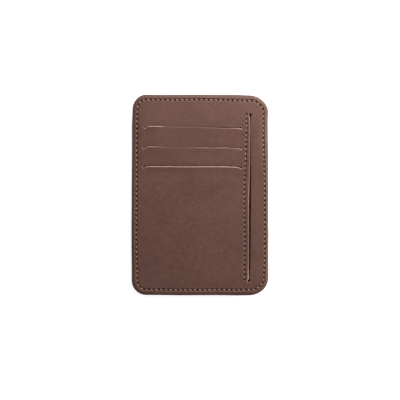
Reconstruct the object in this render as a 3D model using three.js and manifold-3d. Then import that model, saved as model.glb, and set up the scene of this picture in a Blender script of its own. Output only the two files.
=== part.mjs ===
// A slim leather card wallet, empty, lying on its back.
// +X runs across it, +Y towards its top edge and +Z out of its front.
// The origin is the centre of its back face.
// From the back: leather, three card pocket linings, two notes pocket linings,
// three card pocket linings, leather. All are sewn together round the edge.
// All sizes are in millimetres. Layers sit at multiples of 1/16 mm, which are exact in 32-bit numbers.

import * as THREE from 'three';
import { mergeVertices } from 'three/addons/utils/BufferGeometryUtils.js';
import Module from 'manifold-3d';

const wasm = await Module();
wasm.setup();

// Outline
const WIDTH = 80;
const HEIGHT = 117.6;
const OUTER_RADII = { topLeft: 8.9, topRight: 11, bottomLeft: 9.1, bottomRight: 10.2 };
const EDGE_PAINT = 0.25;          // thickness of the paint on the layers' edges
const EDGE_PAINT_GAP = 0.05;      // between the paint and the leather's edge
const EDGE_PAINT_SETBACK = 0.375; // of the paint from the front and back faces
const LINING_SETBACK = 1;         // of the linings from the outline

// Layers
const LEATHER = 1.25;
const LEATHER_EDGE_ROUND = 0.25;
const LINING = 0.125;
const LAYER_GAP = 0.0625;
const NOTES_GAP = 0.5;
const POCKETS = ['upper', 'middle', 'lower'];
const LAYER_STEP = LINING + LAYER_GAP;
const LINING_STACK = (POCKETS.length + 1) * LAYER_STEP;
const THICKNESS = 2 * (LEATHER + LINING_STACK) + NOTES_GAP;

// Card slits, the same three heights in both panels
const CARD_SLIT_HEIGHTS = { upper: 40.1, middle: 28.2, lower: 17 };
const FRONT_CARD_SLIT = { left: -32.3, right: 24.1 };
const BACK_CARD_SLIT = { left: -28.2, right: 28.2 };
const SLIT_WIDTH = 0.6;
const SLIT_END_HOLE_RADIUS = 0.6;

// The notes slit and the seam on its left, which both lean a little to the right
const NOTES_SLIT = { top: new THREE.Vector2(29.9, 47.6), bottom: new THREE.Vector2(29.4, -50.4) };
const SLIT_SEAM = { top: new THREE.Vector2(27, 47.9), bottom: new THREE.Vector2(26.2, -49.4) };
const FRONT_LINING_RIGHT = 28; // between the slit seam and the notes slit

// Pocket linings: bonded to the panel over a strip above their slit, and this deep below it
const BOND_ABOVE_SLIT = 1.2;
const BOND_STRIP = 3.6;
const RAMP_LENGTH = 5;
const POCKET_DEPTH = 74;

// Seams
const EDGE_SEAM_INSET = { left: 2.8, right: 2.3, top: 2.65, bottom: 3.1 };
const STITCH_PITCH = { edge: 2.88, slit: 2.75 };
const STITCH_DIP = 0.1;
const GROOVE_WIDTH = 0.9;
const GROOVE_DEPTH = 0.75;
const THREAD_RADIUS = 0.22;
const THREAD_DEPTH = 0.375;       // of the thread's middle under the leather's face
const HIDDEN_THREAD_RADIUS = 0.15;
const HIDDEN_STITCH_DIP = 0.05;
const THREAD_SIDES = 4;
const POINTS_PER_STITCH = 2;

const CORNER_SEGMENTS = 6;
const HOLE_SEGMENTS = 8;
const CUT_MARGIN = 1;             // how far a cutter runs past what it cuts

const leatherBrown = { color: 0x694c44, roughness: 0.6, metalness: 0 };
const liningBrown = { color: 0x41342d, roughness: 0.9, metalness: 0 };
const threadTan = { color: 0x9c7b69, roughness: 0.7, metalness: 0 };
const paintBrown = { color: 0x4a332c, roughness: 0.4, metalness: 0 };

// Outlines: a rounded rectangle as its four sides and its four corner radii

function inset(box, { left, right, top, bottom }) {
  const cut = (radius, a, b) => radius - (a + b) / 2;
  return {
    left: box.left + left,
    right: box.right - right,
    top: box.top - top,
    bottom: box.bottom + bottom,
    radii: {
      topLeft: cut(box.radii.topLeft, top, left),
      topRight: cut(box.radii.topRight, top, right),
      bottomLeft: cut(box.radii.bottomLeft, bottom, left),
      bottomRight: cut(box.radii.bottomRight, bottom, right),
    },
  };
}

function insetAll(box, by) {
  return inset(box, { left: by, right: by, top: by, bottom: by });
}

function roundedShape({ left, right, top, bottom, radii }) {
  const quarter = Math.PI / 2;
  const { topLeft, topRight, bottomLeft, bottomRight } = radii;
  const shape = new THREE.Shape();
  shape.absarc(right - bottomRight, bottom + bottomRight, bottomRight, -quarter, 0);
  shape.absarc(right - topRight, top - topRight, topRight, 0, quarter);
  shape.absarc(left + topLeft, top - topLeft, topLeft, quarter, 2 * quarter);
  shape.absarc(left + bottomLeft, bottom + bottomLeft, bottomLeft, 2 * quarter, 3 * quarter);
  shape.closePath();
  return shape;
}

const outline = {
  left: -WIDTH / 2,
  right: WIDTH / 2,
  top: HEIGHT / 2,
  bottom: -HEIGHT / 2,
  radii: OUTER_RADII,
};
const edgeSeamLine = inset(outline, EDGE_SEAM_INSET);

// A cut from one point to another whose ends swell into round holes

function slitShape(from, to) {
  const along = to.clone().sub(from);
  const length = along.length();
  const neck = Math.asin(SLIT_WIDTH / 2 / SLIT_END_HOLE_RADIUS);
  const shape = new THREE.Shape();
  shape.absarc(0, 0, SLIT_END_HOLE_RADIUS, neck, -neck);
  shape.absarc(length, 0, SLIT_END_HOLE_RADIUS, Math.PI + neck, Math.PI - neck);
  shape.closePath();
  const middle = new THREE.Vector2();
  const points = shape.getPoints(HOLE_SEGMENTS).map((p) => p.rotateAround(middle, along.angle()).add(from));
  return new THREE.Shape(points);
}

function barShape(from, to, width) {
  const across = to.clone().sub(from).normalize().multiplyScalar(width / 2);
  const side = new THREE.Vector2(-across.y, across.x);
  const start = from.clone().sub(across);
  const end = to.clone().add(across);
  return new THREE.Shape([
    start.clone().sub(side),
    end.clone().sub(side),
    end.clone().add(side),
    start.clone().add(side),
  ]);
}

// Solids

function plate(shape, z, depth) {
  const options = { depth, bevelEnabled: false, curveSegments: CORNER_SEGMENTS };
  return new THREE.ExtrudeGeometry(shape, options).translate(0, 0, z);
}

function toSolid(geometry) {
  const bare = geometry.clone();
  bare.deleteAttribute('normal');
  bare.deleteAttribute('uv');
  const merged = mergeVertices(bare, 1e-4);
  return new wasm.Manifold(new wasm.Mesh({
    numProp: 3,
    vertProperties: merged.attributes.position.array,
    triVerts: new Uint32Array(merged.index.array),
  }));
}

function toGeometry(solid) {
  const { vertProperties, triVerts } = solid.getMesh();
  const geometry = new THREE.BufferGeometry();
  geometry.setAttribute('position', new THREE.BufferAttribute(vertProperties, 3));
  geometry.setIndex(new THREE.BufferAttribute(triVerts, 1));
  geometry.computeVertexNormals();
  return geometry;
}

function piece(name, geometry, look, z = 0) {
  const mesh = new THREE.Mesh(geometry, new THREE.MeshStandardMaterial(look));
  mesh.name = name;
  mesh.position.z = z;
  return mesh;
}

// Leather panels: a plate with soft edges, cut through at the slits and grooved along the seams

function leatherBlank() {
  const shape = roundedShape(insetAll(outline, EDGE_PAINT + EDGE_PAINT_GAP));
  return new THREE.ExtrudeGeometry(shape, {
    depth: LEATHER - 2 * LEATHER_EDGE_ROUND,
    bevelThickness: LEATHER_EDGE_ROUND,
    bevelSize: LEATHER_EDGE_ROUND,
    bevelOffset: -LEATHER_EDGE_ROUND,
    bevelSegments: 2,
    curveSegments: CORNER_SEGMENTS,
  }).translate(0, 0, LEATHER_EDGE_ROUND);
}

function edgeGroove() {
  const shape = roundedShape(insetAll(edgeSeamLine, -GROOVE_WIDTH / 2));
  shape.holes.push(roundedShape(insetAll(edgeSeamLine, GROOVE_WIDTH / 2)));
  return shape;
}

function slitGroove() {
  return barShape(SLIT_SEAM.bottom, SLIT_SEAM.top, GROOVE_WIDTH);
}

function leatherPanel(slits, grooves, grooveFloor) {
  const cutters = [
    ...slits.map((shape) => plate(shape, -CUT_MARGIN, LEATHER + 2 * CUT_MARGIN)),
    ...grooves.map((shape) => plate(shape, grooveFloor, GROOVE_DEPTH + CUT_MARGIN)),
  ];
  const blank = toSolid(leatherBlank());
  return toGeometry(cutters.reduce((solid, cutter) => solid.subtract(toSolid(cutter)), blank));
}

function cardSlits({ left, right }) {
  return Object.values(CARD_SLIT_HEIGHTS).map((y) => (
    slitShape(new THREE.Vector2(left, y), new THREE.Vector2(right, y))
  ));
}

function frontPanel() {
  const slits = [...cardSlits(FRONT_CARD_SLIT), slitShape(NOTES_SLIT.bottom, NOTES_SLIT.top)];
  const geometry = leatherPanel(slits, [edgeGroove(), slitGroove()], LEATHER - GROOVE_DEPTH);
  return piece('front_panel', geometry, leatherBrown, THICKNESS - LEATHER);
}

function backPanel() {
  const geometry = leatherPanel(cardSlits(BACK_CARD_SLIT), [edgeGroove()], -CUT_MARGIN);
  return piece('back_panel', geometry, leatherBrown);
}

// Linings: a strip of cloth with a bent section along Y, cut to the outline's corners.
// The section has z = 0 at the front panel's inner face. side is 1 there, and -1 turns it over for the back.

function sheet(sectionPoints, left, right, side) {
  const upper = sectionPoints.map(([y, z]) => new THREE.Vector2(y, side * z));
  const lower = sectionPoints.map(([y, z]) => new THREE.Vector2(y, side * (z - LINING))).reverse();
  const section = new THREE.Shape([...upper, ...lower]);
  const strip = new THREE.ExtrudeGeometry(section, { depth: right - left, bevelEnabled: false });
  const axes = [new THREE.Vector3(0, 1, 0), new THREE.Vector3(0, 0, 1), new THREE.Vector3(1, 0, 0)];
  strip.applyMatrix4(new THREE.Matrix4().makeBasis(...axes)).translate(left, 0, 0);
  const room = plate(roundedShape(insetAll(outline, LINING_SETBACK)), -THICKNESS, 2 * THICKNESS);
  return toGeometry(toSolid(strip).intersect(toSolid(room)));
}

const liningLevel = (layer) => -LAYER_GAP - layer * LAYER_STEP;
const layerOf = (name) => POCKETS.length - 1 - POCKETS.indexOf(name);

function pocketSection(name) {
  const slit = CARD_SLIT_HEIGHTS[name];
  const level = liningLevel(layerOf(name));
  const bond = slit + BOND_ABOVE_SLIT;
  const top = [[bond + BOND_STRIP, 0], [bond, 0], [bond - RAMP_LENGTH, level]];
  if (name === 'lower') {
    return [...top, [outline.bottom, level]];
  }
  // The upper and middle pockets end above the bottom seam, where their lining is bonded to the one in front
  const bottom = slit - POCKET_DEPTH;
  const bonded = level + LAYER_GAP;
  return [...top, [bottom + BOND_STRIP, level], [bottom, bonded], [bottom - BOND_STRIP, bonded]];
}

function pocketLinings(place, z, side, left, right) {
  return POCKETS.map((name) => (
    piece(`${place}_pocket_lining_${name}`, sheet(pocketSection(name), left, right, side), liningBrown, z)
  ));
}

function notesLining(place, z, side, left, right) {
  const level = liningLevel(POCKETS.length);
  const section = [[outline.top, level], [outline.bottom, level]];
  return piece(`notes_pocket_${place}_lining`, sheet(section, left, right, side), liningBrown, z);
}

// Threads: a tube along the seam that dips once a stitch

class StitchLine extends THREE.Curve {
  constructor(route, stitches, z, dip) {
    super();
    Object.assign(this, { route, stitches, z, dip });
  }

  getPoint(t, target = new THREE.Vector3()) {
    const { x, y } = this.route.getPointAt(t);
    return target.set(x, y, this.z + this.dip * Math.cos(2 * Math.PI * this.stitches * t));
  }

  getPointAt(t, target) {
    return this.getPoint(t, target);
  }

  getTangentAt(t, target) {
    return this.getTangent(t, target);
  }
}

function loopThread(name, z, dip) {
  const route = roundedShape(edgeSeamLine);
  const stitches = Math.round(route.getLength() / STITCH_PITCH.edge);
  const line = new StitchLine(route, stitches, z, dip);
  const tube = new THREE.TubeGeometry(line, stitches * POINTS_PER_STITCH, THREAD_RADIUS, THREAD_SIDES, true);
  return piece(name, tube, threadTan);
}

function straightThread(name, z, radius, dip) {
  const route = new THREE.LineCurve(SLIT_SEAM.bottom, SLIT_SEAM.top);
  const stitches = Math.round(route.getLength() / STITCH_PITCH.slit);
  const section = new THREE.EllipseCurve(0, 0, radius, radius).getPoints(THREAD_SIDES).slice(1);
  const tube = new THREE.ExtrudeGeometry(new THREE.Shape(section), {
    steps: stitches * POINTS_PER_STITCH,
    extrudePath: new StitchLine(route, stitches, z, dip),
  });
  return piece(name, tube, threadTan);
}

function edgeCoating() {
  const shape = roundedShape(outline);
  shape.holes.push(roundedShape(insetAll(outline, EDGE_PAINT)));
  const ring = plate(shape, EDGE_PAINT_SETBACK, THICKNESS - 2 * EDGE_PAINT_SETBACK);
  return piece('edge_coating', ring, paintBrown);
}

const frontInside = THICKNESS - LEATHER;
const liningLeft = outline.left + LINING_SETBACK;
const liningRight = outline.right - LINING_SETBACK;

const wallet = new THREE.Group();
wallet.add(
  frontPanel(),
  backPanel(),
  ...pocketLinings('front', frontInside, 1, liningLeft, FRONT_LINING_RIGHT),
  ...pocketLinings('back', LEATHER, -1, liningLeft, liningRight),
  notesLining('front', frontInside, 1, liningLeft, FRONT_LINING_RIGHT),
  notesLining('back', LEATHER, -1, liningLeft, liningRight),
  loopThread('edge_seam_needle_thread', THICKNESS - THREAD_DEPTH, STITCH_DIP),
  loopThread('edge_seam_bobbin_thread', THREAD_DEPTH, -STITCH_DIP),
  straightThread('slit_seam_needle_thread', THICKNESS - THREAD_DEPTH, THREAD_RADIUS, STITCH_DIP),
  straightThread('slit_seam_bobbin_thread', THICKNESS / 2, HIDDEN_THREAD_RADIUS, HIDDEN_STITCH_DIP),
  edgeCoating(),
);

export default wallet;
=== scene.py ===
"""The looks of a slim leather card wallet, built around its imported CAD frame.

The wallet lies on its back: +X runs across it, +Y to its top edge and +Z out of its front.
Shapes are worked out in millimetres and turned into metres when a mesh is made.
"""

import math

import bmesh
import bpy
import numpy as np
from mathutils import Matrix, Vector
from mathutils.geometry import delaunay_2d_cdt
from mathutils.kdtree import KDTree


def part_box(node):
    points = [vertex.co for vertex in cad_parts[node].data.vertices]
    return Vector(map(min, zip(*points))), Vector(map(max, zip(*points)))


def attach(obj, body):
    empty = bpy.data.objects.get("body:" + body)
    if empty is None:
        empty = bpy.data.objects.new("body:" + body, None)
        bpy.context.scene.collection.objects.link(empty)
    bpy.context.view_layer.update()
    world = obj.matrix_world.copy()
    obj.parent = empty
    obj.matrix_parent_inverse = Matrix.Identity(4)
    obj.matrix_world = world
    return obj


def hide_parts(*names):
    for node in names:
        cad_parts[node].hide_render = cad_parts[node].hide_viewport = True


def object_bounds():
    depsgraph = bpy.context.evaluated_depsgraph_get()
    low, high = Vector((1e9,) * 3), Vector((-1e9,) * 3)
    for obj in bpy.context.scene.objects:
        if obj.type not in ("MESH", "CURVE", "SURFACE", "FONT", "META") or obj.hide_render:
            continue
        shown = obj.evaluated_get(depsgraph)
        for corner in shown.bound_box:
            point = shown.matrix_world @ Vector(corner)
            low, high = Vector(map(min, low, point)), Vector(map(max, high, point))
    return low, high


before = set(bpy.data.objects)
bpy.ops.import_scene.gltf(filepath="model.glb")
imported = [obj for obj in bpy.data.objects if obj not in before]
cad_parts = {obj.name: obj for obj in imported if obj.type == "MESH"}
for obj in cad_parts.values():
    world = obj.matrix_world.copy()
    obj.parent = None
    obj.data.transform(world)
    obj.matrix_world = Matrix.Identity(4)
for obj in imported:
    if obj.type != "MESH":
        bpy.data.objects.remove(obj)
cad_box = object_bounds()

MM = 0.001


def node_box(node):
    """The lowest and highest corners of a CAD node, in millimetres."""
    low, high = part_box(node)
    return np.array(low) / MM, np.array(high) / MM


OUTER_LOW, OUTER_HIGH = (np.array(corner) / MM for corner in cad_box)
BACK_INSIDE = node_box("back_panel")[1][2]
FRONT_INSIDE = node_box("front_panel")[0][2]
LEATHER = OUTER_HIGH[2] - FRONT_INSIDE

# Corner radii, from the bottom right corner anticlockwise to the bottom left one
CORNER_RADII = (10.9, 10.8, 8.4, 8.8)

# The leather and its edge
LEATHER_SETBACK = 0.12  # of the leather's edge inside the painted edge
EDGE_ROUND_ACROSS = 1.95  # how far in the leather's rounded edge starts
EDGE_ROUND_DOWN = 1.0  # and how far down it goes
PILLOW_REACH = 5.5  # how far in the sewn edge draws the leather down
LEVEL_EDGE = 6.0  # how far in the leather is as uneven as it gets
WORN_EDGE = (1.5, 0.3)  # how far in the worn rim ends and is darkest
THINNEST = 0.04  # what is left of the leather at least

# The seams' lines. The edge seam's inset is from the left, right, top and bottom edges
EDGE_SEAM_INSET = (2.8, 2.4, 3.15, 3.3)
STRAY_UPPER_RIGHT = 0.5  # how far further in it strays
STRAY_LOW_CORNERS = 0.4
STRAY_TOP = 0.4
SLIT_SEAM_X = 25.82  # of the slit seam's lower half
SLIT_SEAM_LEAN = 1.42  # how far its upper half leans to the right
SLIT_SEAM_ENDS = (-49.4, 47.5)

# The stitches
EDGE_STITCH = 2.83  # length of a stitch
SLIT_STITCH = 2.75
EDGE_SLANT = 0.17  # of a stitch's ends, off the seam's line
SLIT_SLANT = 0.32
THREAD_RADIUS = 0.25
THREAD_REST = 0.7  # of its radius, from the channel's floor to its middle
THREAD_DIVE = 0.7  # from there down to its ends in the needle holes
PULLED_AT_TOP = 0.04  # how much deeper it sits along the top edge
PULLED_FROM = (54.5, 55.8)
LOOSE_STITCHES = 0.11  # how much prouder the slit seam's upper stitches are
LOOSE_FROM = (32, 42)
LOOSE_TO = (52, 50)
LOOSE_X = 27
BOBBIN_Z = 2.3  # of the bobbin thread inside the notes pocket
BOBBIN_RADIUS = 0.16
BOBBIN_DIVE = 0.22

# What a seam does to the leather's face
SEAM_REACH = 2.0
CHANNEL_WIDTH = 0.55
CHANNEL_FADE = 0.5  # how soon it fades past the seam's ends
SWELL_OUTSIDE = 0.15  # how far the leather swells outside the edge seam
SWELL_BESIDE = 0.06  # and beside the seams elsewhere
SWELL_PLACE = 1.05  # from the seam's line
SWELL_WIDTH = 0.45
NEEDLE_HOLE_DEPTH = 0.85
NEEDLE_HOLE_RADIUS = 0.43
NEEDLE_HOLE_STRETCH = 1.6  # its length over its width
NEEDLE_HOLE_BEND = 0.5  # how soon it bends aside with the stitches
NEEDLE_HOLE_SLANT = 0.9  # and by what share of their slant

# Slits
CARD_SLIT_HEIGHTS = {"upper": 40.1, "middle": 28.2, "lower": 17.0}
BACK_SLIT_END = 28.2  # from the middle of the back
CARD_SLIT_HOLE = 0.46  # radius of the punched hole at a slit's end
NOTES_SLIT_HOLE = 0.68

rng = np.random.default_rng(7)

HAND_MADE = 0.12  # how far the cutting and sewing wander


# ---- numbers


def smooth(low, high, x):
    """0 up to low, 1 from high on, and an S curve between them. low may be the larger one."""
    t = np.clip((x - low) / (high - low), 0, 1)
    return t * t * (3 - 2 * t)


def lengths_along(path):
    """How far along a path each of its points is."""
    steps = np.linalg.norm(np.diff(path, axis=0), axis=1)
    return np.concatenate([[0], np.cumsum(steps)])


def nearest_finder(points):
    """A tree of flat points."""
    tree = KDTree(len(points))
    for i, (x, y) in enumerate(points):
        tree.insert((x, y, 0), i)
    tree.balance()
    return tree


def along(*values):
    """A smooth function of a share from 0 to 1, through evenly spaced values."""
    values = np.array(values, float)
    if len(values) == 1:
        return lambda t: np.full(np.shape(t), values[0])

    def at(t):
        place = np.clip(t, 0, 1) * (len(values) - 1)
        low = np.minimum(place.astype(int), len(values) - 2)
        step = smooth(0, 1, place - low)
        return values[low] * (1 - step) + values[low + 1] * step

    return at


def bell(x, width):
    """1 where x is 0, falling to both sides over about width."""
    return np.exp(-((x / width) ** 2))


def ripples(count, longest, shortest, height):
    """A gentle random unevenness, as a function of places."""
    lengths = np.exp(rng.uniform(math.log(shortest), math.log(longest), count))
    angles = rng.uniform(0, math.tau, count)
    phases = rng.uniform(0, math.tau, count)
    waves = np.stack([np.cos(angles), np.sin(angles)]) * math.tau / lengths
    sizes = height * (lengths / longest) / math.sqrt(count)

    def at(points):
        return (np.sin(points @ waves + phases) * sizes).sum(1)

    return at


# ---- outlines

ROUTE_STEP = 0.1  # between a line's points
TURN_POINTS = 3  # how many points away, on each side, its direction is taken


class Route:
    """A line along a surface, followed by its length."""

    def __init__(self, points, closed):
        points = np.array(points, float)
        self.closed = closed
        ring = np.concatenate([points, points[:1]]) if closed else points
        reach = lengths_along(ring)
        self.length = reach[-1]
        places = np.linspace(0, self.length, max(2, round(self.length / ROUTE_STEP)) + 1)
        self.at_length = places
        self.points = np.stack([np.interp(places, reach, ring[:, k]) for k in (0, 1)], 1)
        if closed:
            ring = self.points[:-1]
            ahead = np.roll(ring, -TURN_POINTS, 0) - np.roll(ring, TURN_POINTS, 0)
            ahead = np.concatenate([ahead, ahead[:1]])
        else:
            ahead = np.gradient(self.points, axis=0)
        ahead /= np.hypot(*ahead.T)[:, None]
        self.normals = np.stack([ahead[:, 1], -ahead[:, 0]], 1)

    def places(self, step):
        """Evenly spaced lengths all round a closed line, about step apart."""
        count = round(self.length / step)
        return np.arange(count) * self.length / count

    def read(self, table, s):
        """The values at lengths s along of a table with a row for each point."""
        s = np.mod(s, self.length) if self.closed else np.clip(s, 0, self.length)
        return np.stack([np.interp(s, self.at_length, table[:, k]) for k in (0, 1)], -1)

    def point(self, s):
        return self.read(self.points, s)

    def normal(self, s):
        """The direction to the right of the line, which is outwards on an outline."""
        n = self.read(self.normals, s)
        return n / np.linalg.norm(n, axis=-1, keepdims=True)

    def locate(self, points, reach):
        """(length along, distance to the right) of points, infinitely far if out of reach."""
        where = np.zeros(len(points))
        off = np.full(len(points), np.inf)
        tree = nearest_finder(self.points)
        for k, (x, y) in enumerate(points):
            _, i, distance = tree.find((x, y, 0))
            if distance < reach:
                away = points[k] - self.points[i]
                n = self.normals[i]
                where[k] = self.at_length[i] + away @ np.array([-n[1], n[0]])
                off[k] = away @ n
        return where, off


def outline_route(inset):
    """The wallet's outline moved in by one distance, or by four: left, right, top, bottom. It runs
    anticlockwise from the bottom right corner."""
    left, right, top, bottom = np.broadcast_to(inset, 4)
    corners = ((1, -1, right, bottom), (1, 1, right, top), (-1, 1, left, top), (-1, -1, left, bottom))
    arcs = []
    for i, (x_side, y_side, from_side, from_end) in enumerate(corners):
        radius = CORNER_RADII[i] - (from_side + from_end) / 2
        count = max(2, round(radius * math.pi / 2 / ROUTE_STEP))
        angles = (i - 1) * math.pi / 2 + np.linspace(0, math.pi / 2, count + 1)
        x = x_side * (OUTER_HIGH[0] - from_side - radius) + radius * np.cos(angles)
        y = y_side * (OUTER_HIGH[1] - from_end - radius) + radius * np.sin(angles)
        arcs.append(np.stack([x, y], 1))
    return Route(np.concatenate(arcs), closed=True)


def edge_seam_route():
    """The seam round the edge. It strays in along the upper right, beside the bottom corners and
    near the right end of the top."""
    x, y = outline_route(EDGE_SEAM_INSET).points[:-1].T
    near_corners = STRAY_LOW_CORNERS * smooth(-36, -44, y) * smooth(-56, -50, y)
    from_right = smooth(30, 36, x) * (STRAY_UPPER_RIGHT * smooth(2, 30, y) + near_corners)
    from_left = smooth(-30, -36, x) * near_corners
    from_top = STRAY_TOP * smooth(12, 22, x) * smooth(34, 25, x) * smooth(50, 55, y)
    return Route(np.stack([x - from_right + from_left, y - from_top], 1), closed=True)


def slit_seam_route():
    """The seam left of the upright slit, which leans to the right in its upper half."""
    y = np.linspace(*SLIT_SEAM_ENDS, 60)
    return Route(np.stack([SLIT_SEAM_X + SLIT_SEAM_LEAN * smooth(0, 45, y), y], 1), closed=False)


def outline_distance(points):
    """How far inside the wallet's outline each point is."""
    x, y = points.T
    right, left = OUTER_HIGH[0] - x, x - OUTER_LOW[0]
    top, bottom = OUTER_HIGH[1] - y, y - OUTER_LOW[1]
    distance = np.minimum.reduce([left, right, top, bottom])
    corners = ((right, bottom), (right, top), (left, top), (left, bottom))
    for radius, (across, up) in zip(CORNER_RADII, corners):
        corner = (across < radius) & (up < radius)
        arc = radius - np.hypot(radius - across, radius - up)
        distance = np.where(corner, arc, distance)
    return distance


class Seam:
    """A line of stitches, each about as long as stitch and slanted across the line."""

    def __init__(self, route, stitch, slant):
        self.route, self.slant = route, slant
        self.stitches = round(route.length / stitch)
        self.pitch = route.length / self.stitches


# ---- slits

HOOK_LENGTH = 1.5  # how soon the cut leaves its first hole's height
HOLE_POINTS = 16
LIP_CHANGE = 0.25  # from the cut's middle to where a lip counts in full


class Slit:
    """A cut in the leather from start to end, between two punched holes.

    Its raised lip is on the right of that direction. hole is the radius of its end holes and hook
    how far the first one stands to the left of the cut. shift moves the cut to the left, gap is its
    width, rise the height of the raised lip, sink how far the other lip is pressed down and raw how
    much of the raised lip's cut edge shows: values from start to end, evenly spaced.
    """

    def __init__(self, start, end, shift, gap, rise, sink, raw, hole=CARD_SLIT_HOLE, hook=0.0):
        self.start, self.hole = np.array(start, float), hole
        run = np.array(end, float) - self.start
        self.length = float(np.hypot(*run))
        self.u = run / self.length
        self.w = np.array([-self.u[1], self.u[0]])
        self.base_shift, self.hook = along(*shift), hook
        self.gap, self.rise, self.sink, self.raw = along(*gap), along(*rise), along(*sink), along(*raw)
        self.end_shifts = self.shift(np.array([0.0, 1.0]))

    def shift(self, t):
        """How far to the left the cut is at shares t along."""
        return self.base_shift(t) + self.hook * bell(t * self.length, HOOK_LENGTH)

    def world(self, a, b):
        """The places a along and b to the left."""
        return self.start + np.multiply.outer(a, self.u) + np.multiply.outer(b, self.w)

    def edge(self, a, side, away=0.0):
        """Points on a lip, or away from it. side is -1 for the raised lip and 1 for the other."""
        t = a / self.length
        return self.world(a, self.shift(t) + side * (self.gap(t) / 2 + away))

    def end_arc(self, end, away, count, spread):
        """Points round hole 0 or 1, or away from it, spread to both sides of its outermost one."""
        angles = np.linspace(-spread, spread, count) + (1 - end) * math.pi
        radius = self.hole + away
        a = end * self.length + radius * np.cos(angles)
        return self.world(a, self.end_shifts[end] + radius * np.sin(angles))

    def outline(self, step):
        """The opening that the slit makes, anticlockwise."""
        half_gaps = self.gap(np.array([0.0, 1.0])) / 2
        necks = np.sqrt(self.hole**2 - half_gaps**2)
        spreads = math.pi - np.arctan2(half_gaps, necks)
        a = np.linspace(necks[0], self.length - necks[1], round(self.length / step))
        return np.concatenate([
            self.edge(a, -1),
            self.end_arc(1, 0, HOLE_POINTS, spreads[1])[1:-1],
            self.edge(a[::-1], 1),
            self.end_arc(0, 0, HOLE_POINTS, spreads[0])[1:-1],
        ])

    def look(self, points):
        """(distance outside the cut, side from -1 on the raised lip to 1, share along, distance
        from the nearer end) of points. The last is negative past the ends."""
        away = points - self.start
        a, b = away @ self.u, away @ self.w
        t = np.clip(a / self.length, 0, 1)
        off = b - self.shift(t)
        beside = np.abs(off) - self.gap(t) / 2
        beside = np.where((a < 0) | (a > self.length), np.inf, beside)
        ends = (np.hypot(a - self.length * end, b - self.end_shifts[end]) for end in (0, 1))
        distance = np.minimum(beside, np.minimum(*ends) - self.hole)
        inward = np.minimum(a, self.length - a)
        return distance, np.clip(off / LIP_CHANGE, -1, 1), t, inward


LIP_ENDS = (0.4, 2.6)  # how far from a slit's end its lips start and are full
OPEN_GAP = 0.3  # the width of a cut that counts as fully open
SHUT_ROUND = 0.15  # the share of its rounding that a shut lip keeps
RAISED_LIP_ROUND = 0.55  # radii of the roundings
LIP_ROUND = 0.28
HOLE_ROUND = 0.22
RAISED_LIP_BLUNT = 0.45  # how far the raised lip's rounding is from a circle
RAISED_LIP_CUT = 0.25  # and by what share less it drops
LIP_REACH = 2.6  # how far from the cut the raised lip comes up
SUNK_REACH = 1.3  # and the other one goes down
HOLE_DENT = 0.05  # of the leather round an end hole
HOLE_DENT_REACH = 0.8
CUT_EDGE = (0.6, 0.34)  # how far from the cut its raw edge ends and is full
CUT_EDGE_ENDS = (-0.7, -0.1)  # the same from an end hole's outermost point
CUT_EDGE_ROUND = (0.2, -0.3)  # where it starts to show on both sides of a hole
SHADE_REACH = 0.4  # how far from the cut the painted shade reaches


def slit_shape(slit, points):
    """(height, cut edge share, painted shade) that a slit gives the leather's face."""
    distance, side, t, inward = slit.look(points)
    distance = np.maximum(distance, 0)
    lip = smooth(*LIP_ENDS, inward)
    raised = 0.5 - side / 2
    rounding = raised * RAISED_LIP_ROUND + (1 - raised) * LIP_ROUND
    openness = slit.gap(t) / OPEN_GAP
    radius = HOLE_ROUND + lip * (np.clip(openness, SHUT_ROUND, 1) * rounding - HOLE_ROUND)
    power = 2 - RAISED_LIP_BLUNT * raised * lip
    inside = np.clip(1 - distance / radius, 0, 1)
    drop = radius * (1 - (1 - inside**power) ** (1 / power)) * (1 - RAISED_LIP_CUT * raised * lip)
    hump = slit.rise(t) * lip * raised * bell(distance, LIP_REACH)
    dent = slit.sink(t) * lip * (1 - raised) * bell(distance, SUNK_REACH)
    dent += HOLE_DENT * (1 - lip) * bell(distance, HOLE_DENT_REACH)
    cut_side = np.clip(raised + 0.5 * smooth(*CUT_EDGE_ROUND, inward), 0, 1)
    raw = slit.raw(t) * smooth(*CUT_EDGE_ENDS, inward + slit.hole) * cut_side
    raw *= smooth(*CUT_EDGE, distance)
    # Painted shade beside an open cut, on the lip that is not raised
    shade = bell(distance, SHADE_REACH) * (1 - raised * lip) * np.clip(openness, 0, 1)
    return hump - dent - drop, raw, shade


# ---- leather panels

SLIT_SHADE = 0.8  # how dark the painted shade on the leather is beside an open cut
CHANNEL_SHADE = 0.12  # and the painted shade along a seam's channel, if a needle hole's is 1


def seam_shape(seam, depth, points):
    """(which points are near, their height, their painted shade) that a seam gives the leather's face.
    """
    where, off = seam.route.locate(points, SEAM_REACH)
    close = np.isfinite(off)
    s, off = where[close], off[close]
    past = 0 if seam.route.closed else np.maximum(-s, s - seam.route.length).clip(0)
    fade = bell(past, CHANNEL_FADE)
    channel = bell(off, CHANNEL_WIDTH) * fade
    swell = np.where((off > 0) & seam.route.closed, SWELL_OUTSIDE, SWELL_BESIDE)
    swell *= bell(np.abs(off) - SWELL_PLACE, SWELL_WIDTH) * fade
    step = s - seam.pitch * np.clip(np.round(s / seam.pitch), 0, seam.stitches)
    bend = np.sin(np.clip(step / NEEDLE_HOLE_BEND, -1, 1) * math.pi / 2)
    across = off - NEEDLE_HOLE_SLANT * seam.slant * bend
    hole = bell((step / NEEDLE_HOLE_STRETCH) ** 2 + across**2, NEEDLE_HOLE_RADIUS**2)
    height = swell - depth * channel - NEEDLE_HOLE_DEPTH * hole
    return close, height, np.maximum(CHANNEL_SHADE * channel, hole)


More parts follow.
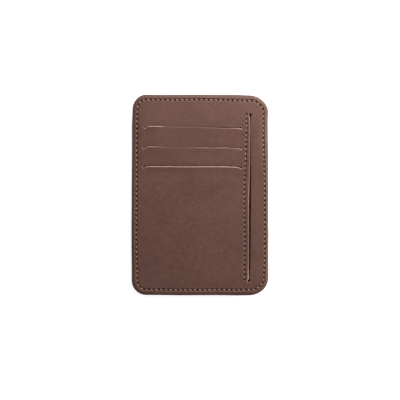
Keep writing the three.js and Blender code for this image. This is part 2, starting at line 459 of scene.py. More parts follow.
class Panel:
    """The face of a leather panel as a height over its inner face. out is 1 for the front and -1 for
    the back, pillow how far the edge is drawn down and channel how deep the stitches have sunk."""

    def __init__(self, inner_z, out, seams, slits, pillow, channel, unevenness):
        self.inner_z, self.out, self.seams, self.slits = inner_z, out, seams, slits
        self.pillow, self.channel, self.unevenness = pillow, channel, unevenness

    def edge_height(self, inside):
        """The height at distances inside the wallet's outline."""
        across = np.clip(1 - (inside - LEATHER_SETBACK) / EDGE_ROUND_ACROSS, 0, 1)
        curve = 1 - np.sqrt(1 - across**2)
        pillow = self.pillow * bell(inside, PILLOW_REACH)
        return LEATHER - pillow - EDGE_ROUND_DOWN * curve

    def ground(self, points):
        """The face without its slits and stitches."""
        inside = outline_distance(points)
        return self.edge_height(inside) + self.unevenness(points) * smooth(0, LEVEL_EDGE, inside)

    def face(self, points):
        """(height, cut edge share, painted shade, wear share) at points."""
        height = self.ground(points)
        raw, painted_shade = np.zeros((2, len(points)))
        for slit in self.slits:
            change, cut, shade = slit_shape(slit, points)
            height += change
            raw = np.maximum(raw, cut)
            painted_shade = np.maximum(painted_shade, SLIT_SHADE * shade)
        for seam in self.seams:
            close, change, shade = seam_shape(seam, self.channel, points)
            height[close] += change
            painted_shade[close] = np.maximum(painted_shade[close], shade)
        wear = smooth(*WORN_EDGE, outline_distance(points))
        highest = LEATHER if self.out < 0 else np.inf
        return np.clip(height, THINNEST, highest), raw, painted_shade, wear

    def thread_height(self, points):
        """Where the middle of a thread lies that rests in the seams' channel."""
        x, y = points.T
        pulled = PULLED_AT_TOP * smooth(*PULLED_FROM, y)
        upper_ones = smooth(*LOOSE_FROM, y) * smooth(*LOOSE_TO, y)
        loose = LOOSE_STITCHES * upper_ones * smooth(2, 1, np.abs(x - LOOSE_X))
        rest = self.ground(points) - self.channel + THREAD_REST * THREAD_RADIUS - pulled + loose
        return self.inner_z + self.out * rest


# Spacing of a panel's points, and the rows of them beside its edge, seams and cuts
OUTLINE_STEP = 0.7
SLIT_STEP = 0.28
STEPS_PER_STITCH = 16
FILL_STEP = 0.95
INNER_FACE_STEP = 4.0
LEAST_STEP = 0.055
EDGE_RINGS = (0.06, 0.15, 0.28, 0.45, 0.66, 0.9, 1.2, 1.5, 1.8)
SEAM_LANES = (0.13, 0.26, 0.4, 0.56)
OUTER_SEAM_LANES = (0.78, 1.05)
SEAM_LEAD = np.arange(1, 7) * 0.18  # past the ends of the slit seam
LIP_RINGS = (0.07, 0.15, 0.25, 0.36, 0.48, 0.6)
OUTER_LIP_RINGS = (0.75, 1.0, 1.35, 1.8)
LIP_LEAD = 0.2  # from a slit's ends to the first points beside it
LIP_ARC = (14, 0.8 * math.pi)  # points round an end hole, and how far round
RING_SLACK = 0.9  # the share of its distance that a row's point has to keep
FILL_MARGIN = 0.3  # between the outermost rows and the rest
SEAM_FILL_MARGIN = 0.4
SEAM_FILL_REACH = 2.5
CUT_MARGIN = 0.04  # between the cuts and the nearest points
RIM_MARGIN = 0.03
INNER_RIM_MARGIN = 2
INNER_CUT_MARGIN = 1.5


def hexagonal(step):
    """Evenly spaced points over the wallet's box."""
    rows = np.arange(OUTER_LOW[1], OUTER_HIGH[1], step * math.sqrt(3) / 2)
    columns = np.arange(OUTER_LOW[0], OUTER_HIGH[0], step)
    x, y = np.meshgrid(columns, rows)
    x[1::2] += step / 2
    return np.stack([x.ravel(), y.ravel()], 1)


def face_points(panel):
    """Points inside a panel's outline, close together where its face bends sharply."""
    rim = outline_route(LEATHER_SETBACK)
    s = rim.places(OUTLINE_STEP)
    rings = [rim.point(s) - rim.normal(s) * inset for inset in EDGE_RINGS]
    for seam in panel.seams:
        fine = np.arange(seam.stitches * STEPS_PER_STITCH) * seam.pitch / STEPS_PER_STITCH
        if not seam.route.closed:
            end = seam.route.length
            fine = np.concatenate([-SEAM_LEAD[::-1], fine, [end], end + SEAM_LEAD])
        for lanes, places in ((SEAM_LANES, fine), (OUTER_SEAM_LANES, fine[::2])):
            for lane in lanes:
                rings += [seam_point(seam, places, side) for side in (-lane, lane)]
        rings.append(seam_point(seam, fine, 0))
    for slit in panel.slits:
        a = np.linspace(LIP_LEAD, slit.length - LIP_LEAD, round(slit.length / SLIT_STEP))
        for distances, places in ((LIP_RINGS, a), (OUTER_LIP_RINGS, a[::2])):
            for away in distances:
                around = [slit.edge(places, side, away) for side in (-1, 1)]
                around += [slit.end_arc(end, away, *LIP_ARC) for end in (0, 1)]
                around = np.concatenate(around)
                rings.append(around[slit.look(around)[0] > away * RING_SLACK])
    fill = hexagonal(FILL_STEP)
    fill = fill[outline_distance(fill) > LEATHER_SETBACK + EDGE_RINGS[-1] + FILL_MARGIN]
    for seam in panel.seams:
        off = seam.route.locate(fill, SEAM_FILL_REACH)[1]
        fill = fill[np.abs(off) > OUTER_SEAM_LANES[-1] + SEAM_FILL_MARGIN]
    for slit in panel.slits:
        fill = fill[slit.look(fill)[0] > OUTER_LIP_RINGS[-1] + FILL_MARGIN]
    points = np.concatenate([*rings, fill])
    for slit in panel.slits:
        points = points[slit.look(points)[0] > CUT_MARGIN]
    return points[outline_distance(points) > LEATHER_SETBACK + RIM_MARGIN]


def seam_point(seam, s, side):
    """Points beside a seam, on a straight seam also a little past its ends."""
    route = seam.route
    past = 0 if route.closed else s - np.clip(s, 0, route.length)
    n = route.normal(s)
    ahead = np.stack([-n[:, 1], n[:, 0]], 1)
    return route.point(s) + n * side + ahead * np.reshape(past, (-1, 1))


def spread_out(points, kept, least):
    """The points that keep their distance from each other and from the kept ones."""
    tree = nearest_finder(np.concatenate([kept, points]))
    dropped = set()
    first = len(kept)
    for i, (x, y) in enumerate(points, first):
        if i not in dropped:
            for _, j, _ in tree.find_range((x, y, 0), least):
                if j < first:
                    dropped.add(i)
                    break
                if j > i:
                    dropped.add(j)
    return points[[i not in dropped for i in range(first, first + len(points))]]


TOUCHING = 1e-7  # points this close count as one


def triangulate(loops, inner):
    """Triangles over the first loop less the other loops, through the inner points too."""
    points = np.concatenate([*loops, inner])
    edges, spans, start = [], [], 0
    for loop in loops:
        spans.append((start, start + len(loop)))
        edges += [(start + i, start + (i + 1) % len(loop)) for i in range(len(loop))]
        start += len(loop)
    found = delaunay_2d_cdt([Vector(p) for p in points], edges, [], 0, TOUCHING)
    if len(found[0]) != len(points):
        raise RuntimeError("a slit's outline crosses itself or another one")
    triangles = np.array([list(t) for t in found[2]])
    keep = np.ones(len(triangles), bool)
    for k, (low, high) in enumerate(spans):
        own = ((triangles >= low) & (triangles < high)).all(1)
        order = np.sign(np.roll(triangles, -1, 1) - triangles).sum(1)
        inside = own & (order > 0)
        keep &= ~(own & ~inside) if k == 0 else ~inside
    return points, triangles[keep]


def leather_panel(where, panel, material):
    """A closed panel: its worked face, its flat inner face and the walls between them."""
    rim = outline_route(LEATHER_SETBACK)
    loops = [rim.point(rim.places(OUTLINE_STEP))]
    loops += [slit.outline(SLIT_STEP) for slit in panel.slits]
    points = spread_out(face_points(panel), np.concatenate(loops), LEAST_STEP)
    face_xy, face_triangles = triangulate(loops, points)
    height, raw, painted_shade, wear = panel.face(face_xy)

    points = hexagonal(INNER_FACE_STEP)
    points = points[outline_distance(points) > INNER_RIM_MARGIN]
    for slit in panel.slits:
        points = points[slit.look(points)[0] > INNER_CUT_MARGIN]
    inner_xy, inner_triangles = triangulate(loops, points)

    first = len(face_xy)
    faces = [face_triangles, inner_triangles[:, ::-1] + first]
    start = 0
    for loop in loops:
        a = np.arange(start, start + len(loop))
        b = np.roll(a, -1)
        wall = np.stack([a + first, b + first, b, a], 1)
        faces += [wall[:, [0, 1, 2]], wall[:, [0, 2, 3]]]
        start += len(loop)
    inner_zeros = np.zeros(len(inner_xy))
    z = panel.inner_z + panel.out * np.concatenate([height, inner_zeros])
    vertices = np.column_stack([np.concatenate([face_xy, inner_xy]), z])
    # The seam share is painted shade: darker leather in the needle holes, along the stitch channel and
    # beside open slit cuts
    shares = {"raw": raw, "seam": painted_shade, "wear": wear}
    shares = {key: np.concatenate([values, inner_zeros]) for key, values in shares.items()}
    faces = np.concatenate(faces).tolist()
    piece = make_piece(f"{where}_leather", vertices, faces, material, shares)
    stands_for(f"{where}_panel")
    return piece


# ---- meshes

WIDER_BELOW = 0.25  # how far out each side is in the lower half
TOP_RIGHT_OUT = 0.35
BOTTOM_RIGHT_OUT = 0.2
TOP_LEFT_IN = 0.35
TOP_UP = 0.25
TOP_RIGHT_DOWN = 0.42
BOTTOM_DOWN = 0.14  # in its middle

wander_x, wander_y = ripples(7, 60, 16, HAND_MADE), ripples(7, 60, 16, HAND_MADE)


def out_of_square(points):
    """How far the shape is off its true outline, to the right and upwards."""
    x, y = points.T
    to_right = WIDER_BELOW * smooth(30, 0, y) * x / OUTER_HIGH[0]
    corners = TOP_RIGHT_OUT * bell(y - 52, 4) + BOTTOM_RIGHT_OUT * bell(y + 54, 4)
    to_right += smooth(30, 38, x) * corners
    to_right += TOP_LEFT_IN * smooth(-30, -38, x) * smooth(40, 50, y)
    up = TOP_UP * smooth(45, 57, y) - TOP_RIGHT_DOWN * smooth(20, 31, x) * smooth(40, 56, y)
    up -= BOTTOM_DOWN * smooth(-50, -57, y) * smooth(36, 22, np.abs(x))
    return np.stack([to_right, up], 1)


def add_object(name, data):
    thing = bpy.data.objects.new(name, data)
    bpy.context.scene.collection.objects.link(thing)
    return thing


def make_piece(name, vertices, faces, material, shares=None, sharp_angle=50):
    """A smooth closed mesh with shares at its vertices. All the pieces wander alike, as the
    layers were sewn together."""
    vertices = np.array(vertices)
    flat = vertices[:, :2].copy()
    vertices[:, :2] += out_of_square(flat)
    vertices[:, 0] += wander_x(flat)
    vertices[:, 1] += wander_y(flat)
    mesh = bpy.data.meshes.new(name)
    mesh.from_pydata((vertices * MM).tolist(), [], faces)
    shell = bmesh.new()
    shell.from_mesh(mesh)
    if shell.calc_volume(signed=True) < 0:
        mesh.flip_normals()
    shell.free()
    for key, values in (shares or {}).items():
        mesh.attributes.new(key, "FLOAT", "POINT").data.foreach_set("value", values)
    mesh.polygons.foreach_set("use_smooth", np.ones(len(mesh.polygons), bool))
    mesh.set_sharp_from_angle(angle=math.radians(sharp_angle))
    mesh.materials.append(material)
    mesh.update()
    piece = add_object(name, mesh)
    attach(piece, "root")
    return piece


def skin(rings, closed_along):
    """Vertices and faces of a skin over a run of rings, with flat ends where it isn't closed."""
    count, around = rings.shape[:2]
    here = np.arange(count if closed_along else count - 1)[:, None]
    ahead = (here + 1) % count
    j = np.arange(around)
    beside = (j + 1) % around
    corners = ((here, j), (here, beside), (ahead, beside), (ahead, j))
    quads = np.stack([i * around + k for i, k in corners], -1).reshape(-1, 4).tolist()
    if not closed_along:
        quads.append(list(range(around))[::-1])
        quads.append(list(range((count - 1) * around, count * around)))
    return rings.reshape(-1, 3), quads


# ---- stitches

STITCH_SAMPLES = 20
THREAD_SIDES = 12
PLIES = 3
PLY_TURN = 1.5  # length of thread for one turn of its plies
PLY_RELIEF = 0.11  # of its radius
PRESSED = (1.08, 0.92)  # its width and height over a round thread's
CROSSING = 0.07  # the share of a stitch in which it leaves the seam's line
ARCH = 1.9  # the higher, the flatter a stitch lies before it dives
SLANT_SPREAD = 0.15  # how much the stitches vary
HEIGHT_SPREAD = 0.02
HEIGHT_SHARE = 0.2  # the share of a stitch in which its own height sets in
PINCH = 0.25  # how much thinner a stitch is at its ends
PINCH_SHARE = 0.16
SUNK_DEPTHS = (0.02, 0.23)  # where it starts to be, and is, sunk: the depths over which its painted shade sets in


def thread(name, seam, height, out, material, radius=THREAD_RADIUS, dive=THREAD_DIVE):
    """One thread along a seam, slanted between the needle holes that it dives into. height gives
    its middle's height at places."""
    half_turn = np.linspace(0, math.pi, STITCH_SAMPLES, endpoint=False)
    share = (1 - np.cos(half_turn)) / 2
    s = ((np.arange(seam.stitches)[:, None] + share) * seam.pitch).ravel()
    f = np.tile(share, seam.stitches)
    if not seam.route.closed:
        s, f = np.append(s, seam.route.length), np.append(f, 1.0)
    uneven = np.repeat(rng.normal(0, 1, (seam.stitches + 1, 2)), STITCH_SAMPLES, 0)[: len(s)]
    to_end = np.minimum(f, 1 - f)
    off = seam.slant * (1 - 2 * f) * smooth(0, CROSSING, to_end) * (1 + SLANT_SPREAD * uneven[:, 0])
    depth = dive * np.abs(2 * f - 1) ** ARCH
    middle = seam.route.point(s) + seam.route.normal(s) * off[:, None]
    rise = HEIGHT_SPREAD * uneven[:, 1] * smooth(0, HEIGHT_SHARE, to_end)
    path = np.column_stack([middle, height(middle) + out * (rise - depth)])
    if seam.route.closed:
        ahead = np.roll(path, -1, 0) - np.roll(path, 1, 0)
    else:
        ahead = np.gradient(path, axis=0)
    ahead /= np.linalg.norm(ahead, axis=1)[:, None]
    side = np.column_stack([seam.route.normal(s), np.zeros(len(s))])
    side -= ahead * (side * ahead).sum(1)[:, None]
    side /= np.linalg.norm(side, axis=1)[:, None]
    up = np.cross(side, ahead)
    turns = lengths_along(path)[:, None] / PLY_TURN
    angle = np.arange(THREAD_SIDES) * math.tau / THREAD_SIDES
    twist = PLIES * (angle - math.tau * turns)
    pinch = 1 - PINCH * (1 - smooth(0, PINCH_SHARE, to_end))
    reach = radius * (1 + PLY_RELIEF * np.cos(twist)) * pinch[:, None]
    wide, high = PRESSED
    rings = (
        path[:, None]
        + side[:, None] * (reach * np.cos(angle) * wide)[..., None]
        + up[:, None] * (reach * np.sin(angle) * high)[..., None]
    )
    vertices, faces = skin(rings, seam.route.closed)
    # Painted shade on the thread where it dives into the needle holes
    sunk = np.repeat(smooth(*SUNK_DEPTHS, depth), THREAD_SIDES)
    shares = {"groove": np.abs(np.sin(twist / 2)).ravel(), "sunk": sunk}
    piece = make_piece(f"{name}_stitches", vertices, faces, material, shares)
    stands_for(f"{name}_thread")


# ---- edge paint

PAINT_LAP = 0.36  # how far the paint runs in over the leather
PAINT_FILM = 0.04
PAINT_WANDER = 0.3  # how uneven the brush left it
PAINT_BACK = 0.7  # how far in the ring's hidden side is
PAINT_GRIP = 0.1  # and how far it reaches past the leather's inner faces

# The shares of the lap and of the film, from the lap's inner end outwards
PAINT_LAPS = ((1.0, -0.4), (0.8, 0.7), (0.6, 1), (0.42, 1.1), (0.3, 1.2))
# The inset and the height, from 1 at the front's edge down to 0.5 in the middle
PAINT_SIDES = ((0.1, 0.86), (0.03, 0.72), (0.0, 0.6), (0.02, 0.53), (0.05, 0.5))


def edge_paint(front, back, material):
    """A ring of paint that bulges over the raw edges of all the layers."""
    route = outline_route(0)
    s = route.places(OUTLINE_STEP)
    points, normals = route.point(s), route.normal(s)
    uneven = 1 + ripples(10, 40, 7, PAINT_WANDER)(points)
    middle = OUTER_HIGH[2] / 2

    def lapped(panel, share, film):
        inset = LEATHER_SETBACK + (PAINT_LAP - LEATHER_SETBACK) * share * uneven
        return inset, panel.inner_z + panel.out * (panel.edge_height(inset) + PAINT_FILM * film)

    def side(panel, inset, share):
        top = panel.inner_z + panel.out * panel.edge_height(LEATHER_SETBACK + RIM_MARGIN)
        return inset * uneven, np.full(len(s), middle + (top - middle) * (share - 0.5) * 2)

    def inner(z):
        return np.full(len(s), PAINT_BACK), np.full(len(s), z)

    rows = [lapped(front, *place) for place in PAINT_LAPS]
    rows += [side(front, *place) for place in PAINT_SIDES]
    rows += [side(back, *place) for place in PAINT_SIDES[-2::-1]]
    rows += [lapped(back, *place) for place in PAINT_LAPS[::-1]]
    rows += [inner(back.inner_z - PAINT_GRIP), inner(front.inner_z + PAINT_GRIP)]
    rings = [np.column_stack([points - normals * inset[:, None], z]) for inset, z in rows]
    vertices, faces = skin(np.stack(rings, 1), closed_along=True)
    piece = make_piece("painted_edge", vertices, faces, material)
    stands_for("edge_coating")


# ---- linings

LINING_SETBACK = 1.0  # inside the outline
LINING_THICKNESS = float(np.ptp([corner[2] for corner in node_box("notes_pocket_back_lining")]))
LAYER_GAP = 0.0625
BOND_STRIP = 3.6  # height of the strip where a lining is glued
RAMP_LENGTH = 5.0  # and of the slope below it
LINING_STEP = 1.0


def lining_section(node, side):
    """The (y, z) bends of a pocket lining's under face, from its bonded top end down. side is 1
    behind the front panel and -1 behind the back panel."""
    low, high = node_box(node)
    lower, upper = low[2], high[2] - LINING_THICKNESS
    bonded, level = (upper, lower) if side > 0 else (lower, upper)
    top, bottom = high[1], low[1]
    bends = [(top, bonded), (top - BOND_STRIP, bonded), (top - BOND_STRIP - RAMP_LENGTH, level)]
    if node.endswith("lower"):
        return [*bends, (bottom, level)]
    joined = level + side * LAYER_GAP
    glued = bottom + BOND_STRIP
    return [*bends, (glued + BOND_STRIP, level), (glued, joined), (bottom, joined)]


def side_at(y, side):
    """The linings' outline at heights y, on the left (-1) or on the right (1)."""
    radii = CORNER_RADII[:1:-1] if side < 0 else CORNER_RADII[:2]
    x = np.full(len(y), OUTER_HIGH[0] - LINING_SETBACK)
    for radius, up in zip(radii, (y - OUTER_LOW[1], OUTER_HIGH[1] - y)):
        radius -= LINING_SETBACK
        short = np.clip(radius - (up - LINING_SETBACK), 0, radius)
        x -= radius - np.sqrt(radius**2 - short**2)
    return side * x


def lining(node, section, material):
    """A sheet of lining cloth with a bent section, cut to the wallet's rounded corners."""
    low, high = node_box(node)
    section = np.array(section, float)
    reach = lengths_along(section)
    rows = np.linspace(0, reach[-1], round(reach[-1] / LINING_STEP))
    y, z = (np.interp(rows, reach, section[:, k]) for k in (0, 1))
    start, end = np.maximum(side_at(y, -1), low[0]), np.minimum(side_at(y, 1), high[0])
    share = np.linspace(0, 1, round((high[0] - low[0]) / LINING_STEP))
    x = start[:, None] + (end - start)[:, None] * share
    under = np.stack(np.broadcast_arrays(x, y[:, None], z[:, None]), -1)
    rings = np.concatenate([under, (under + (0, 0, LINING_THICKNESS))[:, ::-1]], 1)
    vertices, faces = skin(rings, closed_along=False)
    name = node.replace("lining", "lining_cloth")
    piece = make_piece(name, vertices, faces, material, sharp_angle=30)
    stands_for(node)


def stands_for(node):
    """Hides the CAD node that a piece replaces."""
    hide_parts(node)


# ---- materials


class Finish:
    """A procedural material, built from short calls. Sizes of patterns are in millimetres."""

    def __init__(self, name, specular=0.5, sheen=0.0, sheen_roughness=0.5):
        self.material = bpy.data.materials.new(name)
        self.material.use_nodes = True
        self.tree = self.material.node_tree
        self.shader = self.tree.nodes["Principled BSDF"]
        self.shader.inputs["Specular IOR Level"].default_value = specular
        self.shader.inputs["Sheen Weight"].default_value = sheen
        self.shader.inputs["Sheen Roughness"].default_value = sheen_roughness
        self.place = self.add("ShaderNodeTexCoord").outputs["Object"]

    def add(self, kind, settings=None, **inputs):
        node = self.tree.nodes.new(kind)
        for key, value in (settings or {}).items():
            setattr(node, key, value)
        for key, value in inputs.items():
            self.put(value, node.inputs[key])
        return node

    def put(self, value, socket):
        if isinstance(value, bpy.types.NodeSocket):
            self.tree.links.new(value, socket)
        else:
            socket.default_value = (*value, 1) if socket.type == "RGBA" else value

    def noise(self, size, detail=3.0, roughness=0.55):
        sockets = {"Scale": 1 / (size * MM), "Detail": detail, "Roughness": roughness}
        return self.add("ShaderNodeTexNoise", Vector=self.place, **sockets).outputs["Fac"]

    def cells(self, size, warp):
        """The distance to the nearest of many scattered points, in a warped pattern."""
        noise = self.add("ShaderNodeTexNoise", Vector=self.place, Scale=1 / (size * 3 * MM))
        shift = self.add("ShaderNodeVectorMath", {"operation": "SCALE"}, Scale=warp * size * MM)
        self.put(noise.outputs["Color"], shift.inputs[0])
        moved = self.combine("ADD", self.place, shift.outputs[0], "ShaderNodeVectorMath")
        node = self.add("ShaderNodeTexVoronoi", Vector=moved, Scale=1 / (size * MM))
        return node.outputs["Distance"]

    def share(self, name):
        return self.add("ShaderNodeAttribute", {"attribute_name": name}).outputs["Fac"]

    def combine(self, operation, a, b, kind="ShaderNodeMath"):
        node = self.add(kind, {"operation": operation})
        self.put(a, node.inputs[0])
        self.put(b, node.inputs[1])
        return node.outputs[0]

    def spread(self, value, low, high, to_low=0.0, to_high=1.0):
        """A value from low to high, moved to the range from to_low to to_high."""
        sockets = {"From Min": low, "From Max": high, "To Min": to_low, "To Max": to_high}
        settings = {"interpolation_type": "SMOOTHSTEP"}
        return self.add("ShaderNodeMapRange", settings, Value=value, **sockets).outputs["Result"]

    def blend(self, share, a, b):
        """Colour a where share is 0, turning into b where it is 1."""
        node = self.add("ShaderNodeMix", {"data_type": "RGBA"})
        for value, socket in ((share, node.inputs[0]), (a, node.inputs[6]), (b, node.inputs[7])):
            self.put(value, socket)
        return node.outputs[2]

    def bump(self, height, distance, under=None):
        node = self.add("ShaderNodeBump", Height=height, Distance=distance * MM)
        if under:
            self.put(under, node.inputs["Normal"])
        return node.outputs["Normal"]

    def finish(self, colour, roughness, normal):
        self.put(colour, self.shader.inputs["Base Color"])
        self.put(roughness, self.shader.inputs["Roughness"])
        self.put(normal, self.shader.inputs["Normal"])
        return self.material


def leather_finish(name):
    f = Finish(name, specular=0.25, sheen=0.04)
    cloud, patches = f.noise(17, 2), f.noise(2.6, 4, 0.6)
    grain, pebbles = f.cells(0.42, warp=0.9), f.cells(0.95, warp=0.8)
    fine = f.noise(0.16, 3, 0.6)
    pores = f.cells(0.9, warp=1.5)

    colour = f.blend(f.spread(cloud, 0.3, 0.7), (0.0868, 0.038, 0.0272), (0.0995, 0.044, 0.0318))
    colour = f.blend(f.spread(patches, 0.35, 0.7, 0, 0.45), colour, (0.122, 0.058, 0.0428))
    colour = f.blend(f.spread(grain, 0.25, 0.75, 0, 0.28), colour, (0.062, 0.026, 0.019))
    colour = f.blend(f.spread(f.share("wear"), 0.25, 1.0, 0, 0.35), colour, (0.066, 0.03, 0.023))
    raw = f.combine("MULTIPLY", f.share("raw"), f.spread(patches, 0.3, 0.7, 0.75, 1.0))
    colour = f.blend(raw, colour, (0.38, 0.255, 0.21))
    # Painted shade: the seam share darkens the leather in needle holes, along the stitch channel and
    # beside open cuts
    colour = f.blend(f.spread(f.share("seam"), 0.15, 1.0, 0, 0.85), colour, (0.034, 0.008, 0.004))

    roughness = f.spread(cloud, 0.3, 0.7, 0.53, 0.60)
    roughness = f.combine("ADD", roughness, f.spread(patches, 0.3, 0.7, -0.03, 0.04))
    roughness = f.combine("ADD", roughness, f.combine("MULTIPLY", raw, 0.2))
    roughness = f.combine("ADD", roughness, f.combine("MULTIPLY", f.share("seam"), 0.35))
    normal = f.bump(f.spread(grain, 0.1, 0.8, 1, 0), 0.024)
    normal = f.bump(f.spread(pebbles, 0.1, 0.9, 1, 0), 0.026, normal)
    normal = f.bump(fine, 0.01, normal)
    normal = f.bump(f.spread(pores, 0.0, 0.1), 0.01, normal)
    normal = f.bump(patches, 0.05, normal)
    return f.finish(colour, roughness, normal)


def thread_finish(name):
    f = Finish(name, specular=0.2, sheen=0.05, sheen_roughness=0.4)
    groove, fibres, tone = f.share("groove"), f.noise(0.07, 2), f.noise(3.2, 2)
    colour = f.blend(f.spread(tone, 0.3, 0.7), (0.215, 0.14, 0.105), (0.3, 0.195, 0.15))
    colour = f.blend(f.spread(groove, 0.0, 0.45, 0.7, 0), colour, (0.09, 0.045, 0.033))
    # Painted shade: the sunk share darkens the thread where it dives into the needle holes
    colour = f.blend(f.combine("MULTIPLY", f.share("sunk"), 0.92), colour, (0.045, 0.014, 0.009))
    roughness = f.spread(fibres, 0.3, 0.7, 0.5, 0.68)
    return f.finish(colour, roughness, f.bump(fibres, 0.012))


YARN_PITCH = 0.44234
WAVES = 20 / math.tau  # that a wave texture has in one unit, at a scale of 1


def lining_finish(name):
    f = Finish(name, specular=0.12, sheen=0.02, sheen_roughness=0.6)
    waves = []
    for direction in ("X", "Y"):
        settings = {"wave_type": "BANDS", "bands_direction": direction}
        wave = f.add("ShaderNodeTexWave", settings, Vector=f.place, Scale=1 / (WAVES * YARN_PITCH * MM))
        waves.append(wave.outputs["Fac"])
    weave, tone = f.combine("MULTIPLY", *waves), f.noise(5, 3)
    colour = f.blend(f.spread(tone, 0.3, 0.7), (0.046, 0.016, 0.01), (0.062, 0.024, 0.015))
    colour = f.blend(f.spread(weave, 0, 0.6, 0.5, 0), colour, (0.02, 0.007, 0.004))
    return f.finish(colour, f.spread(weave, 0, 1, 0.85, 0.7), f.bump(weave, 0.03))


def edge_paint_finish(name):
    f = Finish(name)
    dabs, fine = f.noise(2.4, 3, 0.6), f.noise(0.3, 3, 0.6)
    colour = f.blend(f.spread(dabs, 0.3, 0.7), (0.07, 0.035, 0.027), (0.096, 0.05, 0.04))
    colour = f.blend(f.spread(fine, 0.55, 0.75, 0, 0.4), colour, (0.1, 0.056, 0.044))
    normal = f.bump(fine, 0.012, f.bump(dabs, 0.05))
    return f.finish(colour, f.spread(dabs, 0.3, 0.7, 0.30, 0.42), normal)


TABLE_GLOW = 0.82  # the floor is the top of a light table


def floor_finish(name):
    f = Finish(name, specular=0.1)
    f.shader.inputs["Emission Color"].default_value = (1, 1, 1, 1)
    f.shader.inputs["Emission Strength"].default_value = TABLE_GLOW
    tone = f.noise(60, 3)
    colour = f.blend(f.spread(tone, 0.3, 0.7), (0.54, 0.54, 0.54), (0.57, 0.57, 0.57))
    return f.finish(colour, f.spread(tone, 0.3, 0.7, 0.85, 0.95), f.bump(f.noise(0.8), 0.01))


# ---- the wallet


def card_slits():
    """The three card slits of the front, with lips that hands have worn."""
    left, right = -32.2, 24.0
    upper = Slit(
        (left, 40.2), (right, 39.8), hook=-0.95,
        shift=(0.4, 0.55, 0.5, 0.05, -0.1, *[-0.2] * 6, -0.3, -0.35, -0.35, -0.35),
        gap=(0.2, 0.3, 0.25, 0.05, 0.04, 0.04, 0.04, 0.05, 0.1, 0.2, 0.22, 0.22, 0.22, 0.22, 0.2),
        rise=(0.2, 0.5, 0.45, 0.1, 0.02, 0.02, 0.02, *[0] * 6, 0.1, 0.15),
        sink=(0.1, 0.1, 0.1, 0.02, *[0] * 9, 0.05, 0.05),
        raw=(0.7, 1, 1, 0.15, 0.12, 0.14, 0.12, 0.1, 0.12, 0.2, 0.28, 0.22, 0.2, 0.4, 1),
    )
    middle = Slit(
        (left - 0.8, 28.4), (right, 27.6), hook=-0.95,
        shift=(0.3, 0.45, 0.3, 0, -0.15, -0.15, -0.15, -0.15, 0, 0.05, 0, 0.25, 0.2, -0.15, -0.2),
        gap=(0.2, 0.25, 0.15, 0.08, 0.08, 0.08, 0.08, 0.12, 0.2, 0.2, 0.15, 0.25, 0.15, 0.15, 0.2),
        rise=(0.2, 0.35, 0.2, 0.08, 0.05, 0.05, 0.05, 0.1, 0.2, 0.2, 0.1, 0.25, 0.08, 0.08, 0.1),
        sink=(0.1, 0.1, 0.05, 0.03, 0.03, 0.03, 0.03, 0.05, 0.1, 0.1, 0.05, 0.1, 0.05, 0.05, 0.05),
        raw=(0.7, 0.7, 0.4, 0.15, 0.15, 0.15, 0.15, 0.2, 0.45, 0.45, 0.2, 0.55, 0.4, 0.3, 0.9),
    )
    lower = Slit(
        (left - 0.7, 17.0), (right, 16.9), hook=-0.5,
        shift=(0.05, 0.15, 0.15, 0.1, 0.1, 0.05, 0, 0, 0, 0, 0.05, 0.05, 0, -0.15, -0.75),
        gap=(0.25, 0.25, 0.28, 0.25, *[0.22] * 10, 0.2),
        rise=(0.2, 0.35, 0.4, 0.35, *[0.3] * 9, 0.2, 0.1),
        sink=(0.15,),
        raw=(0.7, 0.8, 0.85, 0.85, 0.85, 0.9, 0.9, 0.9, 0.95, 0.95, 0.95, 0.95, 0.9, 0.85, 0.8),
    )
    return [upper, middle, lower]


def notes_slit():
    """The upright slit, which is widest in its middle and shows a cut edge at its bottom end."""
    return Slit(
        (29.8, 47.2), (29.2, -50.4), hole=NOTES_SLIT_HOLE,
        shift=(-0.22, -0.36, -0.33, -0.28, -0.3, -0.35, -0.47, -0.48, -0.5, -0.5, -0.52, -0.75),
        gap=(0.3, 0.15, 0.25, 0.35, 0.6, 0.8, 0.95, 0.9, 0.75, 0.75, 0.6, 0.4),
        rise=(0.1, 0.15, *[0.2] * 8, 0.15, 0.1),
        sink=(0.08,),
        raw=(0.3, 0.2, 0.15, 0.1, 0.2, 0.35, 0.3, 0.15, 0.1, 0.15, 0.25, 1),
    )


def back_slits():
    """The three card slits of the back, straight and centred."""
    shape = {"shift": (0,), "gap": (0.35,), "rise": (0,), "sink": (0.05,), "raw": (0.5,)}
    heights = CARD_SLIT_HEIGHTS.values()
    return [Slit((-BACK_SLIT_END, y), (BACK_SLIT_END, y), **shape) for y in heights]


leather = leather_finish("leather")
waxed = thread_finish("waxed_thread")
cloth = lining_finish("lining_weave")
paint = edge_paint_finish("edge_paint")

edge_seam = Seam(edge_seam_route(), EDGE_STITCH, EDGE_SLANT)
slit_seam = Seam(slit_seam_route(), SLIT_STITCH, SLIT_SLANT)
front_ripples = ripples(24, 55, 12, 0.10)
back_ripples = ripples(16, 55, 14, 0.05)

MOUTH_SWELL = 0.55
MOUTH_REACH_UP = 10
MOUTH_REACH_DOWN = 25


def front_unevenness(points):
    """Ripples, and a low swelling along the upper card slit, where the pockets' mouths are."""
    above = points[:, 1] - CARD_SLIT_HEIGHTS["upper"]
    reach = np.where(above > 0, MOUTH_REACH_UP, MOUTH_REACH_DOWN)
    return front_ripples(points) + MOUTH_SWELL * bell(above, reach)


def back_unevenness(points):
    """Dents only, as the back lies on the table."""
    return -np.abs(back_ripples(points))


def bobbin_height(points):
    return np.full(len(points), BOBBIN_Z)


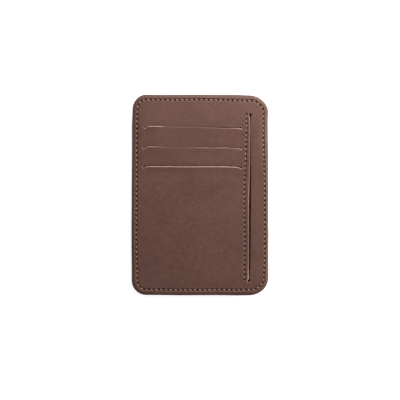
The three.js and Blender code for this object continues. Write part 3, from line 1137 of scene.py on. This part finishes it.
front = Panel(
    FRONT_INSIDE, 1, [edge_seam, slit_seam], [*card_slits(), notes_slit()],
    pillow=0.28, channel=0.20, unevenness=front_unevenness,
)
back = Panel(
    BACK_INSIDE, -1, [edge_seam], back_slits(),
    pillow=0.12, channel=0.46, unevenness=back_unevenness,
)
front_leather = leather_panel("front", front, leather)
back_leather = leather_panel("back", back, leather)

for where, side, rests_on in (("front", 1, front_leather), ("back", -1, back_leather)):
    for height in CARD_SLIT_HEIGHTS:
        node = f"{where}_pocket_lining_{height}"
        lining(node, lining_section(node, side), cloth)
    node = f"notes_pocket_{where}_lining"
    low, high = node_box(node)
    lining(node, [(high[1], low[2]), (low[1], low[2])], cloth)

thread("edge_seam_needle", edge_seam, front.thread_height, 1, waxed)
thread("edge_seam_bobbin", edge_seam, back.thread_height, -1, waxed)
thread("slit_seam_needle", slit_seam, front.thread_height, 1, waxed)
thread("slit_seam_bobbin", slit_seam, bobbin_height, -1, waxed, BOBBIN_RADIUS, BOBBIN_DIVE)
edge_paint(front, back, paint)

# ---- studio, in metres

FLOOR_SIZE = 6.0
FLOOR_GAP = 0.05  # under the wallet, in millimetres
HORIZON_HEIGHT = 0.2  # of the bright band all round, as the sine of its elevation
VIEW_HEIGHT = 0.2346  # of the square picture, at the wallet
VIEW_CENTRE = (0.0, -0.0029)
CAMERA_HEIGHT = 0.9
SENSOR = 36.0  # in millimetres, as the lens


def make_floor():
    half = FLOOR_SIZE / 2
    mesh = bpy.data.meshes.new("floor")
    corners = [(-half, -half), (half, -half), (half, half), (-half, half)]
    mesh.from_pydata([(x, y, -FLOOR_GAP * MM) for x, y in corners], [], [(0, 1, 2, 3)])
    mesh.materials.append(floor_finish("pale_floor"))
    add_object("floor", mesh)


def make_light(name, place, size, power):
    """A square lamp that shines on the wallet."""
    light = bpy.data.lights.new(name, "AREA")
    light.shape = "SQUARE"
    light.size = size
    light.energy = power
    lamp = add_object(name, light)
    lamp.location = place
    lamp.rotation_euler = Vector(place).to_track_quat("Z", "Y").to_euler()
    lamp.visible_camera = False


def make_world(overhead, horizon):
    """A soft white room, brighter along its walls than overhead."""
    world = bpy.data.worlds.new("studio")
    world.use_nodes = True
    nodes, links = world.node_tree.nodes, world.node_tree.links
    direction = nodes.new("ShaderNodeTexCoord")
    height = nodes.new("ShaderNodeSeparateXYZ")
    fall = nodes.new("ShaderNodeMapRange")
    for key, value in (("From Max", HORIZON_HEIGHT), ("To Min", horizon), ("To Max", overhead)):
        fall.inputs[key].default_value = value
    background = nodes["Background"]
    background.inputs["Color"].default_value = (1, 1, 1, 1)
    links.new(direction.outputs["Generated"], height.inputs["Vector"])
    links.new(height.outputs["Z"], fall.inputs["Value"])
    links.new(fall.outputs["Result"], background.inputs["Strength"])
    bpy.context.scene.world = world


def make_camera():
    data = bpy.data.cameras.new("camera")
    data.sensor_width = SENSOR
    data.lens = SENSOR * (CAMERA_HEIGHT - OUTER_HIGH[2] * MM) / VIEW_HEIGHT
    camera = add_object("camera", data)
    camera.location = (*VIEW_CENTRE, CAMERA_HEIGHT)
    bpy.context.scene.camera = camera


make_floor()
make_world(overhead=0.24, horizon=1.1)
make_light("key", place=(0.17, 0.33, 0.215), size=0.15, power=2.6)
make_light("gloss", place=(0.08, 0.27, 0.36), size=0.14, power=0.6)
make_light("side", place=(0.55, 0.0, 0.095), size=0.30, power=4.3)
make_camera()
bpy.context.scene.view_settings.view_transform = "Standard"
